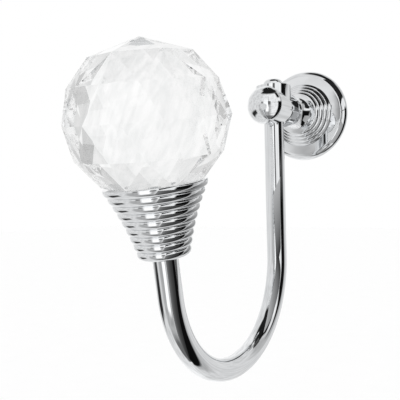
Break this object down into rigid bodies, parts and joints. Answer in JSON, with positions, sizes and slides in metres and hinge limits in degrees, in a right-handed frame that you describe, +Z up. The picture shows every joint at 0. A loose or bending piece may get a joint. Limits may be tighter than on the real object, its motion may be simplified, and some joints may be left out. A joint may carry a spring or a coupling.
{
  "type": "curtain holdback",
  "caption": "J-shaped chromed hook on a round reeded wall rose, ending in a reeded cup and a faceted glass ball, that holds a drawn curtain to the side.",
  "frame": {"origin": "middle of the rose's back, on the wall, where the fixing thread opens", "axes": "+Z up, +Y into the wall, the hook standing out along -Y; +X to the right of someone who faces the wall"},
  "size_m": [0.049, 0.1366, 0.121],
  "materials": {
    "chrome": "polished bright chrome plate",
    "crystal": "clear cut glass with polished facets",
    "steel": "plain bright steel"
  },
  "bodies": {
    "root": {"rose": "chrome", "stem": "chrome", "front_cap": "chrome", "hook_rod": "chrome", "cup": "chrome", "crystal_ball": "crystal", "rose_washer": "steel", "rose_nut": "steel", "ball_stud": "steel"}
  },
  "joints": []
}
